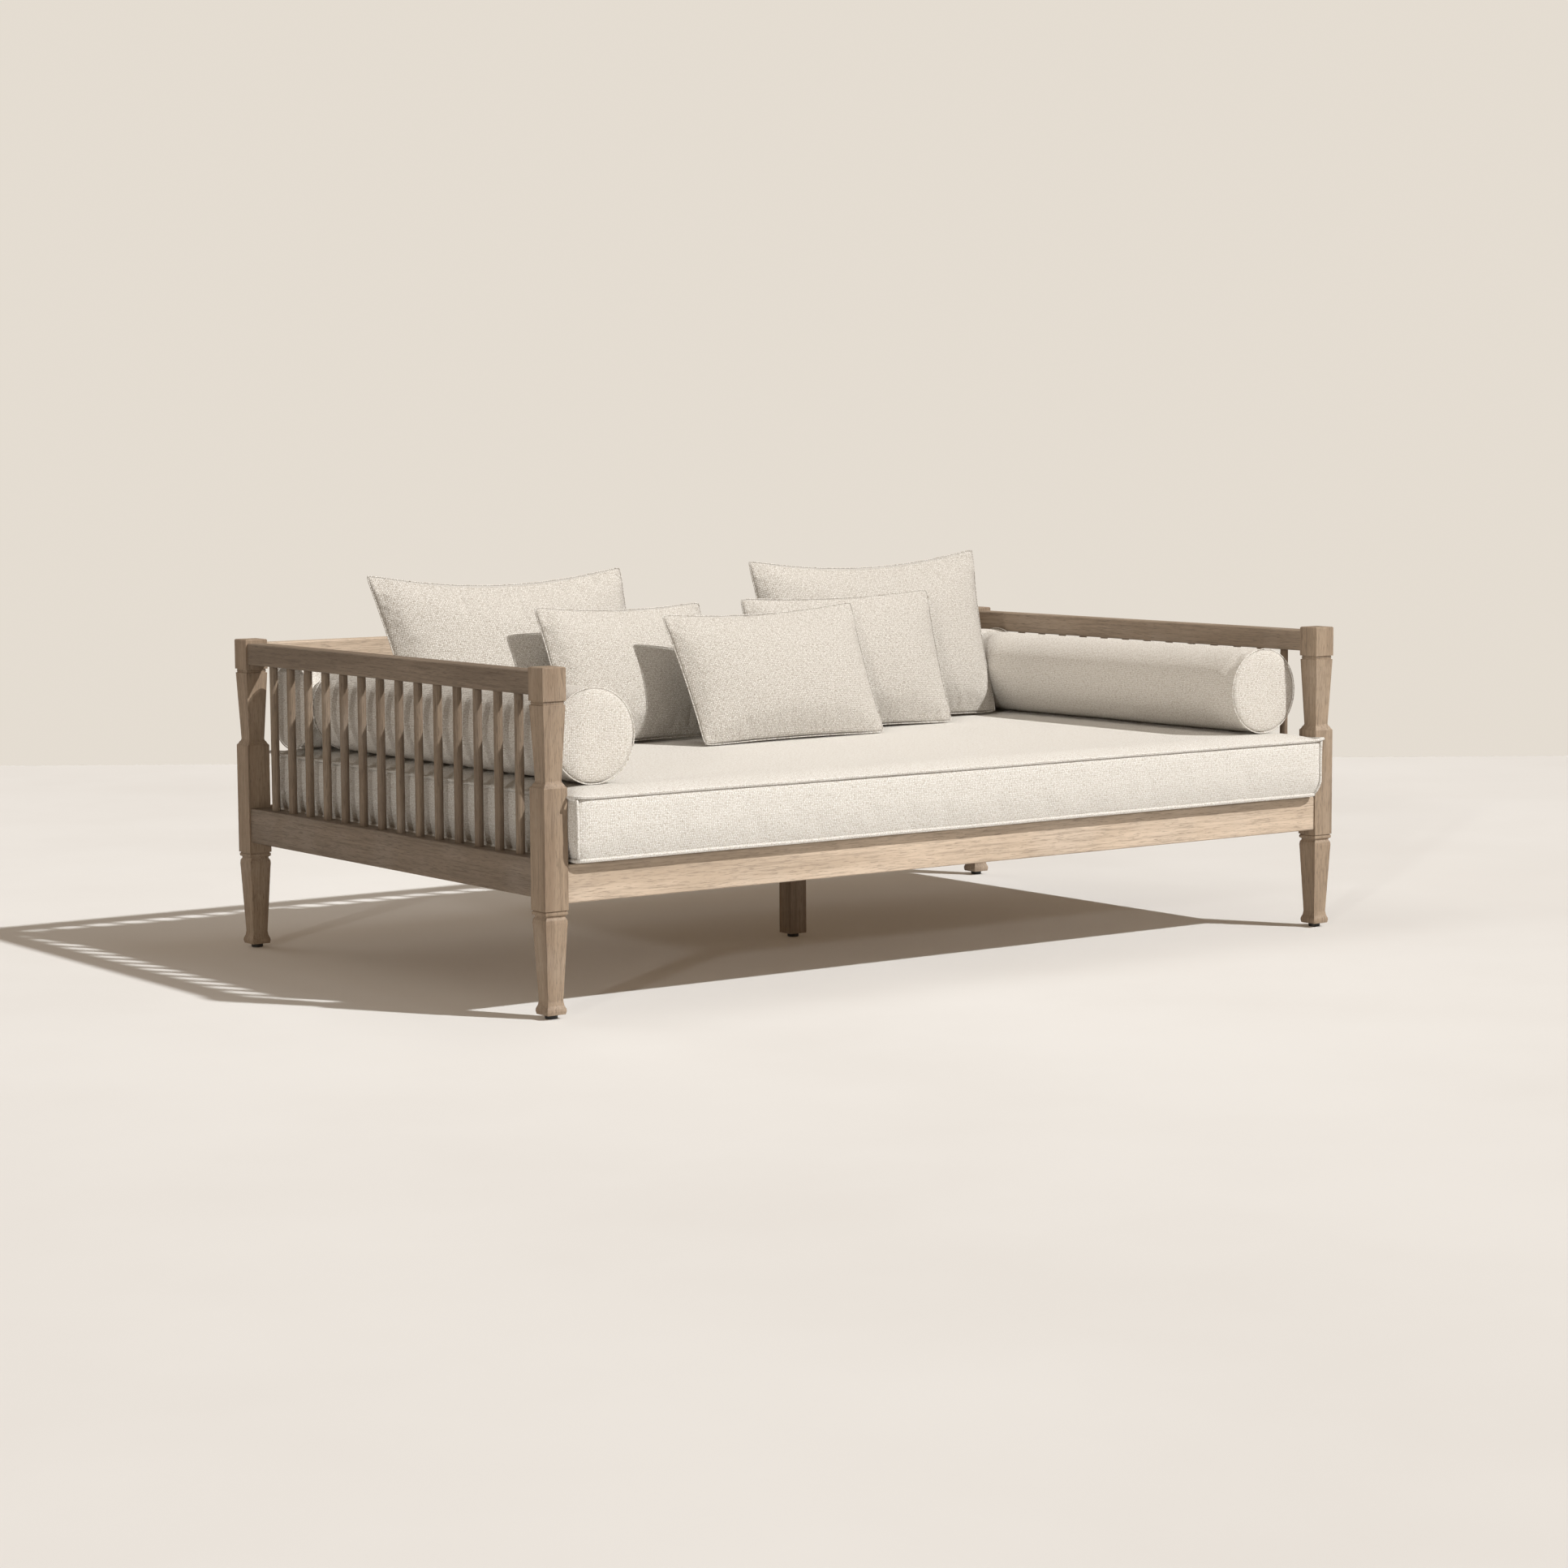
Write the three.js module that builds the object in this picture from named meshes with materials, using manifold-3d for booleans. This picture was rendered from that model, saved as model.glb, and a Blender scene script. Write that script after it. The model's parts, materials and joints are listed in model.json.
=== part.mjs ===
// Daybed: a teak frame with turned corner posts and spindle sides on three sides, a slatted deck,
// a welted mattress, three bolsters and five loose pillows.
// Millimetres, +Z up. The origin is the middle of the footprint, on the floor. +X runs along the length and
// -Y is the open front. Names say left and right as seen from the front, so left is -X.
import * as THREE from "three";
import { mergeVertices } from "three/addons/utils/BufferGeometryUtils.js";
import Module from "manifold-3d";

const wasm = await Module();
wasm.setup();

// ---------------------------------------------------------------- overall size, outside the posts
const LENGTH = 2200;
const DEPTH = 1330;
const HEIGHT = 714;
const GAP = 0.3; // clearance between pieces that meet
const CUT_PAST = 1; // how far a cut runs out past the face that it opens

// ---------------------------------------------------------------- corner posts, square in section
const POST = 55;
const POST_FACE = POST / 2;
const TOP_BLOCK = 68; // square block at the head of a post
const HEAD_GROOVE = 9; // turned groove under that block
const NECK_HEAD = POST - 2; // the neck is an inverted taper
const NECK_FOOT = POST - 16.5;
const SHOULDER = 14; // ovolo between the neck and the lower block
const BLOCK_HEAD = 470; // height of the lower block's top
const BLOCK_FOOT = 222; // height of the lower block's foot
const LEG_HEAD = POST - 3; // widest part of the tapered leg
const LEG_ANKLE = POST - 19; // narrowest part of the leg
const FOOT = POST - 9; // flared foot
const PULL_BACK = 3.5; // the rails sit this far behind the post faces

// ---------------------------------------------------------------- glides and centre leg
const GLIDE_RADIUS = 13.5;
const GLIDE_HEIGHT = 9;
const STEM_RADIUS = 4;
const STEM_LENGTH = 22;
const GLIDE_SIDES = 16;
const STEM_SIDES = 12;
const CENTRE_LEG = 45;

// ---------------------------------------------------------------- rails
const RAIL = POST - 2 * PULL_BACK; // thickness of the top rails and of the end and back bottom rails
const TOP_RAIL_HEIGHT = 48;
const TOP_RAIL_DROP = 9; // the top rails sit this far below the post tops
const BOTTOM_RAIL_HEIGHT = 79;
const BOTTOM_RAIL_FOOT = 247;
const FRONT_RAIL = 40; // thickness of the front rail
const FRONT_RAIL_FOOT = 235;
const TENON_THICKNESS = RAIL / 3;
const MORTISE_WALL = 1.5; // wood left between the two mortises that meet in a post
const TENON_LENGTH = POST_FACE - TENON_THICKNESS / 2 - MORTISE_WALL;
const TENON_SHOULDER = 9; // step above and below a tenon
const EASE = 2; // eased long edges of the rails

// ---------------------------------------------------------------- spindles
const SPINDLE_RADIUS = 9.5;
const SPINDLE_SIDES = 12;
const SPINDLE_SOCKET = 15; // depth of a spindle's hole in a rail
const END_SPINDLES = 14;
const BACK_SPINDLES = 25;
const FILLET_WIDTH = 2 * SPINDLE_RADIUS + 3; // strip that carries the back spindles in a grooved rail
const FILLET_DEPTH = 8;
const FILLET_STOP = 10; // the strips and their grooves end this far inside the rails' shoulders

// ---------------------------------------------------------------- deck
const SLAT_WIDTH = 62;
const SLAT_THICKNESS = 18;
const SLAT_COUNT = 17;
const DECK_TOP = 316;
const CLEAT = 25;
const BEAM_WIDTH = 45;
const BEAM_HEIGHT = 50;
const BEAM_TENON = 12;
const BEAM_TENON_SHOULDER = 10;
const SLAT_END_SPACE = 2; // from the outer slats to the posts' inner faces
const WEBBING_WIDTH = 25;
const WEBBING_THICKNESS = 2.5;
const WEBBING_PLACE = 330; // distance of each webbing strap from the middle

// ---------------------------------------------------------------- mattress
const MATTRESS_SIDE_GAP = 3; // to the posts, at each end
const MATTRESS_OVERHANG = 28; // in front of the posts
const MATTRESS_BACK_GAP = 2.5; // to the back rail
const MATTRESS_BORDER = 134; // height of the boxed border
const MATTRESS_CROWN = 15;
const MATTRESS_CORNER = 14;

// ---------------------------------------------------------------- bolsters and pillows
const BOLSTER_RADIUS = 100;
const BOLSTER_EDGE = 7; // rounding at the end seam
const BOLSTER_SIDES = 28;
const BACK_BOLSTER_GAP = 1.5; // to the back posts
const BOLSTER_SPACING = 3; // between an end bolster and the back bolster
const PRESS = 1.5; // space left where a pillow is pressed in by a bolster
const LARGE_THICKNESS = 160;
const LUMBAR_THICKNESS = 112;
const PILLOW_FULLNESS = 0.55; // lower is a fuller section
const PILLOW_SPAN = 1682; // room between the end bolsters that the pillows' widths are stated for

// ---------------------------------------------------------------- materials
const teak = { color: 0xa5896a, roughness: 0.62, metalness: 0 };
const fabric = { color: 0xd9d0c2, roughness: 0.95, metalness: 0 };
const glidePlastic = { color: 0x151515, roughness: 0.5, metalness: 0 };

// ---------------------------------------------------------------- places worked out from those sizes
const halfLength = LENGTH / 2;
const halfDepth = DEPTH / 2;
const postX = halfLength - POST_FACE;
const postY = halfDepth - POST_FACE;
const railEndX = halfLength - POST; // inner faces of the posts
const railEndY = halfDepth - POST;
const railLineX = halfLength - PULL_BACK - RAIL / 2;
const railLineY = halfDepth - PULL_BACK - RAIL / 2;
const frontRailLine = -halfDepth + PULL_BACK + FRONT_RAIL / 2;
const topRailHead = HEIGHT - TOP_RAIL_DROP;
const topRailFoot = topRailHead - TOP_RAIL_HEIGHT;
const bottomRailHead = BOTTOM_RAIL_FOOT + BOTTOM_RAIL_HEIGHT;
const deckFoot = DECK_TOP - SLAT_THICKNESS;
const beamHead = deckFoot - GAP;
const beamFoot = beamHead - BEAM_HEIGHT;
const mattressFoot = DECK_TOP + GAP;
const plateau = mattressFoot + MATTRESS_BORDER + MATTRESS_CROWN; // the mattress's top
const bolsterLine = plateau + GAP + BOLSTER_RADIUS; // height of a bolster's axis
const backBolsterY = railEndY - BACK_BOLSTER_GAP - BOLSTER_RADIUS;

const daybed = new THREE.Group();

// ================================================================ helpers
function solid(geometry) {
  const bare = geometry.clone();
  bare.deleteAttribute("normal");
  bare.deleteAttribute("uv");
  const merged = mergeVertices(bare, 1e-3);
  const mesh = new wasm.Mesh({
    numProp: 3,
    vertProperties: new Float32Array(merged.attributes.position.array),
    triVerts: new Uint32Array(merged.index.array),
  });
  return new wasm.Manifold(mesh);
}

function geometryOf(manifold) {
  const mesh = manifold.getMesh();
  const geometry = new THREE.BufferGeometry();
  geometry.setAttribute("position", new THREE.BufferAttribute(new Float32Array(mesh.vertProperties), 3));
  geometry.setIndex(new THREE.BufferAttribute(new Uint32Array(mesh.triVerts), 1));
  geometry.computeVertexNormals();
  return geometry;
}

function add(name, manifold, finish) {
  const mesh = new THREE.Mesh(geometryOf(manifold), new THREE.MeshStandardMaterial(finish));
  mesh.name = name;
  daybed.add(mesh);
}

// A plain block between two corners.
function block(low, high) {
  const size = high.map((value, axis) => value - low[axis]);
  const geometry = new THREE.BoxGeometry(...size);
  geometry.translate(...low.map((value, axis) => value + size[axis] / 2));
  return solid(geometry);
}

// A bar along x or y with its four long edges eased.
function easedBar(low, high, along) {
  const across = along === "x" ? [1, 2, 0] : [2, 0, 1];
  const [a, b, c] = across.map((axis) => [low[axis], high[axis]]);
  const shape = new THREE.Shape();
  shape.moveTo(a[0] + EASE, b[0]);
  shape.lineTo(a[1] - EASE, b[0]);
  shape.lineTo(a[1], b[0] + EASE);
  shape.lineTo(a[1], b[1] - EASE);
  shape.lineTo(a[1] - EASE, b[1]);
  shape.lineTo(a[0] + EASE, b[1]);
  shape.lineTo(a[0], b[1] - EASE);
  shape.lineTo(a[0], b[0] + EASE);
  const geometry = new THREE.ExtrudeGeometry(shape, { depth: c[1] - c[0], bevelEnabled: false });
  geometry.translate(0, 0, c[0]);
  const units = [new THREE.Vector3(1, 0, 0), new THREE.Vector3(0, 1, 0), new THREE.Vector3(0, 0, 1)];
  geometry.applyMatrix4(new THREE.Matrix4().makeBasis(...across.map((axis) => units[axis])));
  return solid(geometry);
}

// A turning about a vertical line: pairs of radius and height, from the foot up.
function turning(profile, sides, x = 0, y = 0, start = 0) {
  const points = profile.map(([radius, height]) => new THREE.Vector2(radius, height));
  const geometry = new THREE.LatheGeometry(points, sides, start);
  geometry.rotateX(Math.PI / 2);
  geometry.translate(x, y, 0);
  return solid(geometry);
}

// A square post whose width changes with its height: pairs of width and height, from the foot up.
function squareTurning(profile, x, y) {
  const corners = profile.map(([width, height]) => [width * Math.SQRT1_2, height]);
  return turning(corners, 4, x, y, Math.PI / 4);
}

function dowel(radius, foot, head, sides, x, y) {
  return turning([[0, foot], [radius, foot], [radius, head], [0, head]], sides, x, y);
}

function grown(low, high, amount) {
  return block(low.map((value) => value - amount), high.map((value) => value + amount));
}

// Evenly spaced places across a span, with equal spaces at both ends.
function spread(count, span) {
  return Array.from({ length: count }, (_, i) => -span / 2 + (span * (i + 1)) / (count + 1));
}

// ================================================================ rails and their tenons
// Each rail is described once. Its tenons, its shoulders and the mortises in the posts all come from here.
const topSection = { thick: RAIL, foot: topRailFoot, head: topRailHead };
const bottomSection = { thick: RAIL, foot: BOTTOM_RAIL_FOOT, head: bottomRailHead };
const rails = {
  top_rail_left: { along: "y", line: -railLineX, ...topSection },
  top_rail_right: { along: "y", line: railLineX, ...topSection },
  top_rail_back: { along: "x", line: railLineY, ...topSection },
  bottom_rail_left: { along: "y", line: -railLineX, ...bottomSection },
  bottom_rail_right: { along: "y", line: railLineX, ...bottomSection },
  bottom_rail_back: { along: "x", line: railLineY, ...bottomSection },
  bottom_rail_front: {
    along: "x",
    line: frontRailLine,
    thick: FRONT_RAIL,
    foot: FRONT_RAIL_FOOT,
    head: FRONT_RAIL_FOOT + BOTTOM_RAIL_HEIGHT,
  },
};

function railBox(rail, reach, thick, shoulder) {
  const end = (rail.along === "x" ? railEndX : railEndY) + reach;
  const side = [rail.line - thick / 2, rail.line + thick / 2];
  const foot = rail.foot + shoulder;
  const head = rail.head - shoulder;
  return rail.along === "x"
    ? [[-end, side[0], foot], [end, side[1], head]]
    : [[side[0], -end, foot], [side[1], end, head]];
}

function tenonBox(rail) {
  return railBox(rail, TENON_LENGTH, TENON_THICKNESS, TENON_SHOULDER);
}

function railSolid(rail) {
  const body = easedBar(...railBox(rail, -GAP, rail.thick, 0), rail.along);
  return body.add(block(...tenonBox(rail)));
}

// ================================================================ posts and glides
// Pairs of width and height up a post: flared foot, ankle, leg with its bead, cove under the lower block, the
// block, ovolo shoulder, inverted taper, beaded groove and head block.
function postProfile() {
  const blockFoot = HEIGHT - TOP_BLOCK;
  const grooveFoot = blockFoot - HEAD_GROOVE;
  return [
    [0, GLIDE_HEIGHT + GAP],
    [FOOT - 3, GLIDE_HEIGHT + GAP],
    [FOOT, GLIDE_HEIGHT + 7],
    [FOOT - 1, GLIDE_HEIGHT + 12],
    [LEG_ANKLE + 3, GLIDE_HEIGHT + 19],
    [LEG_ANKLE, GLIDE_HEIGHT + 28],
    [LEG_HEAD - 1.5, BLOCK_FOOT - 37],
    [LEG_HEAD, BLOCK_FOOT - 26],
    [LEG_HEAD - 1.5, BLOCK_FOOT - 19],
    [LEG_HEAD - 7.5, BLOCK_FOOT - 14],
    [LEG_HEAD - 7.5, BLOCK_FOOT - 11],
    [POST - 3, BLOCK_FOOT - 9],
    [POST - 2, BLOCK_FOOT - 6],
    [POST - 3, BLOCK_FOOT - 3],
    [POST - 6, BLOCK_FOOT - 2],
    [POST - 6, BLOCK_FOOT],
    [POST, BLOCK_FOOT],
    [POST, BLOCK_HEAD],
    [POST - 3, BLOCK_HEAD + SHOULDER * 0.15],
    [POST - 5, BLOCK_HEAD + SHOULDER * 0.2],
    [NECK_FOOT + 6, BLOCK_HEAD + SHOULDER * 0.6],
    [NECK_FOOT + 2, BLOCK_HEAD + SHOULDER * 0.75],
    [NECK_FOOT, BLOCK_HEAD + SHOULDER],
    [NECK_HEAD, grooveFoot],
    [POST - 7, grooveFoot + HEAD_GROOVE * 0.1],
    [POST - 7, grooveFoot + HEAD_GROOVE * 0.35],
    [POST - 5, grooveFoot + HEAD_GROOVE * 0.5],
    [POST - 7, grooveFoot + HEAD_GROOVE * 0.65],
    [POST - 7, blockFoot],
    [POST, blockFoot],
    [POST, HEIGHT - EASE],
    [POST - 2 * EASE, HEIGHT],
    [0, HEIGHT],
  ];
}

function stemHole(x, y) {
  const head = GLIDE_HEIGHT + STEM_LENGTH + GAP;
  return dowel(STEM_RADIUS + 2 * GAP, GLIDE_HEIGHT - CUT_PAST, head, STEM_SIDES, x, y);
}

function glide(x, y) {
  const profile = [
    [0, 0],
    [GLIDE_RADIUS - 1.5, 0],
    [GLIDE_RADIUS, 1.5],
    [GLIDE_RADIUS, GLIDE_HEIGHT],
    [STEM_RADIUS, GLIDE_HEIGHT],
    [STEM_RADIUS, GLIDE_HEIGHT + STEM_LENGTH],
    [0, GLIDE_HEIGHT + STEM_LENGTH],
  ];
  return turning(profile, GLIDE_SIDES, x, y);
}

function buildPosts() {
  const corners = { front_left: [-1, -1], front_right: [1, -1], back_left: [-1, 1], back_right: [1, 1] };
  for (const [corner, [sideX, sideY]] of Object.entries(corners)) {
    const place = [sideX * postX, sideY * postY];
    let post = squareTurning(postProfile(), ...place).subtract(stemHole(...place));
    for (const rail of Object.values(rails)) post = post.subtract(grown(...tenonBox(rail), GAP));
    add(`post_${corner}`, post, teak);
    add(`glide_${corner}`, glide(...place), glidePlastic);
  }
}

// ================================================================ rails, spindles and the back panel
const endSpindleY = spread(END_SPINDLES, 2 * railEndY);
const backSpindleX = spread(BACK_SPINDLES, 2 * railEndX);

function spindleSpan(inset) {
  return [bottomRailHead - SPINDLE_SOCKET + inset, topRailFoot + SPINDLE_SOCKET - inset];
}

// Holes for one end's spindles, wide enough to clear the flats of a many-sided spindle.
function spindleHoles(line) {
  const [foot, head] = spindleSpan(0);
  const radius = (SPINDLE_RADIUS + GAP) / Math.cos(Math.PI / SPINDLE_SIDES);
  const holes = endSpindleY.map((y) => dowel(radius, foot, head, SPINDLE_SIDES, line, y));
  return wasm.Manifold.union(holes);
}

function buildEnds() {
  for (const [end, line] of Object.entries({ left: -railLineX, right: railLineX })) {
    const holes = spindleHoles(line);
    const beamMortise = grown(...beamTenonBox(), GAP);
    add(`top_rail_${end}`, railSolid(rails[`top_rail_${end}`]).subtract(holes), teak);
    const bottom = railSolid(rails[`bottom_rail_${end}`]).subtract(holes).subtract(beamMortise);
    add(`bottom_rail_${end}`, bottom, teak);
    const [foot, head] = spindleSpan(GAP);
    endSpindleY.forEach((y, i) => {
      const number = String(i + 1).padStart(2, "0");
      add(`spindle_${end}_${number}`, dowel(SPINDLE_RADIUS, foot, head, SPINDLE_SIDES, line, y), teak);
    });
  }
}

// The strips that hold the back spindles, let into grooves in the two back rails.
// clearance: how much wider a groove is than its strip; past: how far it runs out of the rail's face
function filletBoxes(clearance, past) {
  const side = FILLET_WIDTH / 2 + clearance;
  const end = railEndX - FILLET_STOP + clearance;
  const low = [bottomRailHead - FILLET_DEPTH - clearance, bottomRailHead + past];
  const high = [topRailFoot - past, topRailFoot + FILLET_DEPTH + clearance];
  return [low, high].map(([foot, head]) => [
    [-end, railLineY - side, foot],
    [end, railLineY + side, head],
  ]);
}

function buildBack() {
  const grooves = filletBoxes(GAP, CUT_PAST).map((box) => block(...box));
  add("bottom_rail_back", railSolid(rails.bottom_rail_back).subtract(grooves[0]), teak);
  add("top_rail_back", railSolid(rails.top_rail_back).subtract(grooves[1]), teak);
  const strips = filletBoxes(0, 0).map((box) => block(...box));
  const foot = bottomRailHead - FILLET_DEPTH / 2;
  const head = topRailFoot + FILLET_DEPTH / 2;
  const spindles = backSpindleX.map((x) => dowel(SPINDLE_RADIUS, foot, head, SPINDLE_SIDES, x, railLineY));
  add("back_spindle_panel", wasm.Manifold.union([...strips, ...spindles]), teak);
}

// ================================================================ front rail, deck and centre leg
function beamTenonBox() {
  const end = railLineX - RAIL / 2 + BEAM_TENON;
  return [
    [-end, -BEAM_WIDTH / 4, beamFoot + BEAM_TENON_SHOULDER],
    [end, BEAM_WIDTH / 4, beamHead - BEAM_TENON_SHOULDER],
  ];
}

function buildDeck() {
  add("bottom_rail_front", railSolid(rails.bottom_rail_front), teak);

  const beamEnd = railLineX - RAIL / 2 - GAP;
  const beam = block([-beamEnd, -BEAM_WIDTH / 2, beamFoot], [beamEnd, BEAM_WIDTH / 2, beamHead]);
  add("centre_beam", beam.add(block(...beamTenonBox())), teak);

  const cleatEnd = railEndX - GAP;
  const frontFace = frontRailLine + FRONT_RAIL / 2 + GAP;
  const backFace = railLineY - RAIL / 2 - GAP;
  const cleatLow = [-cleatEnd, frontFace, beamHead - CLEAT];
  add("ledger_cleat_front", block(cleatLow, [cleatEnd, frontFace + CLEAT, beamHead]), teak);
  const backLow = [-cleatEnd, backFace - CLEAT, beamHead - CLEAT];
  add("ledger_cleat_back", block(backLow, [cleatEnd, backFace, beamHead]), teak);

  const half = SLAT_WIDTH / 2;
  const reach = railEndX - SLAT_END_SPACE - half;
  const slats = Array.from({ length: SLAT_COUNT }, (_, i) => {
    const x = -reach + (2 * reach * i) / (SLAT_COUNT - 1);
    return block([x - half, frontFace, deckFoot], [x + half, backFace, DECK_TOP]);
  });
  const straps = [-WEBBING_PLACE, WEBBING_PLACE].map((y) =>
    block(
      [-reach, y - WEBBING_WIDTH / 2, deckFoot - WEBBING_THICKNESS / 2],
      [reach, y + WEBBING_WIDTH / 2, deckFoot + WEBBING_THICKNESS / 2],
    ),
  );
  add("slat_deck", wasm.Manifold.union([...slats, ...straps]), teak);

  const legFoot = GLIDE_HEIGHT + GAP;
  const side = CENTRE_LEG / 2;
  const leg = block([-side, -side, legFoot], [side, side, beamFoot - GAP]).subtract(stemHole(0, 0));
  add("centre_leg", leg, teak);
  add("glide_centre", glide(0, 0), glidePlastic);
}

// ================================================================ mattress
// A ring of points around a rectangle with rounded corners.
function roundedRing(halfX, low, high, corner, z) {
  const steps = 3;
  const ring = [];
  const centres = [
    [halfX - corner, high - corner, 0],
    [-halfX + corner, high - corner, 1],
    [-halfX + corner, low + corner, 2],
    [halfX - corner, low + corner, 3],
  ];
  for (const [x, y, quarter] of centres) {
    for (let i = 0; i <= steps; i++) {
      const angle = (Math.PI / 2) * (quarter + i / steps);
      ring.push([x + corner * Math.cos(angle), y + corner * Math.sin(angle), z]);
    }
  }
  return ring;
}

// A closed skin through rings of equal length, listed from the foot up.
function loft(rings) {
  const count = rings[0].length;
  const positions = rings.flat(2);
  const index = [];
  for (let level = 0; level < rings.length - 1; level++) {
    for (let i = 0; i < count; i++) {
      const a = level * count + i;
      const b = level * count + ((i + 1) % count);
      index.push(a, b, b + count, a, b + count, a + count);
    }
  }
  const last = (rings.length - 1) * count;
  for (let i = 1; i < count - 1; i++) {
    index.push(0, i + 1, i);
    index.push(last, last + i, last + i + 1);
  }
  const geometry = new THREE.BufferGeometry();
  geometry.setAttribute("position", new THREE.Float32BufferAttribute(positions, 3));
  geometry.setIndex(index);
  return solid(geometry);
}

function buildMattress() {
  const halfX = railEndX - MATTRESS_SIDE_GAP;
  const front = -halfDepth - MATTRESS_OVERHANG;
  const back = railLineY - RAIL / 2 - MATTRESS_BACK_GAP;
  const border = mattressFoot + MATTRESS_BORDER;
  // pairs of inset and height
  const levels = [
    [5, mattressFoot],
    [0, mattressFoot + 5],
    [0, border - 5],
    [4, border],
    [20, border + MATTRESS_CROWN * 0.4],
    [50, border + MATTRESS_CROWN * 0.8],
    [90, plateau],
  ];
  const rings = levels.map(([inset, z]) =>
    roundedRing(halfX - inset, front + inset, back - inset, MATTRESS_CORNER + inset * 0.5, z),
  );
  add("mattress", loft(rings), fabric);
}

// ================================================================ bolsters
function bolsterBar(length, growth) {
  const radius = BOLSTER_RADIUS + growth;
  const end = length + growth;
  const profile = [
    [0, -growth],
    [radius - BOLSTER_EDGE, -growth],
    [radius - BOLSTER_EDGE * 0.3, BOLSTER_EDGE * 0.3 - growth],
    [radius, BOLSTER_EDGE - growth],
    [radius, end - BOLSTER_EDGE],
    [radius - BOLSTER_EDGE * 0.3, end - BOLSTER_EDGE * 0.3],
    [radius - BOLSTER_EDGE, end],
    [0, end],
  ];
  return new THREE.LatheGeometry(profile.map((pair) => new THREE.Vector2(...pair)), BOLSTER_SIDES);
}

const endBolsterRear = backBolsterY - BOLSTER_RADIUS - BOLSTER_SPACING;
// start: the front cap, measured from the front faces of the posts; inset: from the posts' inner faces
const endBolsters = {
  left: { side: -1, start: 58, inset: 3 },
  right: { side: 1, start: 67, inset: 5 },
};

function endBolster(name, growth = 0) {
  const { side, start, inset } = endBolsters[name];
  const front = -halfDepth + start;
  const geometry = bolsterBar(endBolsterRear - front, growth);
  geometry.translate(side * (railEndX - inset - BOLSTER_RADIUS), front, bolsterLine);
  return solid(geometry);
}

function backBolster(growth = 0) {
  const half = railEndX - MATTRESS_SIDE_GAP;
  const geometry = bolsterBar(2 * half, growth);
  geometry.rotateZ(-Math.PI / 2);
  geometry.translate(-half, backBolsterY, bolsterLine);
  return solid(geometry);
}

function buildBolsters() {
  add("bolster_left", endBolster("left"), fabric);
  add("bolster_right", endBolster("right"), fabric);
  add("bolster_back", backBolster(), fabric);
}

// ================================================================ pillows
// A knife-edged pillow in its own frame: x across, z up from its foot, y through its thickness.
// The corners are its four points, and each edge curves in between them.
function pillowGeometry({ corners, thick, waist }) {
  const across = 12;
  const up = 10;
  const eased = (i, count) => (1 - Math.cos((Math.PI * i) / count)) / 2;
  const arch = (t) => 4 * t * (1 - t);
  const [[blX, blZ], [brX, brZ], [trX, trZ], [tlX, tlZ]] = corners;
  const positions = [];
  const index = [];
  const number = new Map();
  const point = (i, j, face) => {
    const rim = i === 0 || j === 0 || i === across || j === up;
    const key = `${i},${j},${rim ? 0 : face}`;
    if (!number.has(key)) {
      const s = eased(i, across);
      const t = eased(j, up);
      const left = blX + (tlX - blX) * t + waist.side * arch(t);
      const right = brX + (trX - brX) * t - waist.side * arch(t);
      const foot = blZ + (brZ - blZ) * s + waist.foot * arch(s);
      const head = tlZ + (trZ - tlZ) * s - waist.head * arch(s);
      const bulge = Math.pow(arch(s) * arch(t), PILLOW_FULLNESS);
      number.set(key, positions.length / 3);
      positions.push(left + (right - left) * s, (face * thick * bulge) / 2, foot + (head - foot) * t);
    }
    return number.get(key);
  };
  for (const face of [-1, 1]) {
    for (let i = 0; i < across; i++) {
      for (let j = 0; j < up; j++) {
        const around = [[i, j], [i + 1, j], [i + 1, j + 1], [i, j + 1]];
        const quad = around.map(([column, row]) => point(column, row, face));
        if (face > 0) quad.reverse();
        index.push(quad[0], quad[1], quad[2], quad[0], quad[2], quad[3]);
      }
    }
  }
  const geometry = new THREE.BufferGeometry();
  geometry.setAttribute("position", new THREE.Float32BufferAttribute(positions, 3));
  geometry.setIndex(index);
  return geometry;
}

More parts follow.
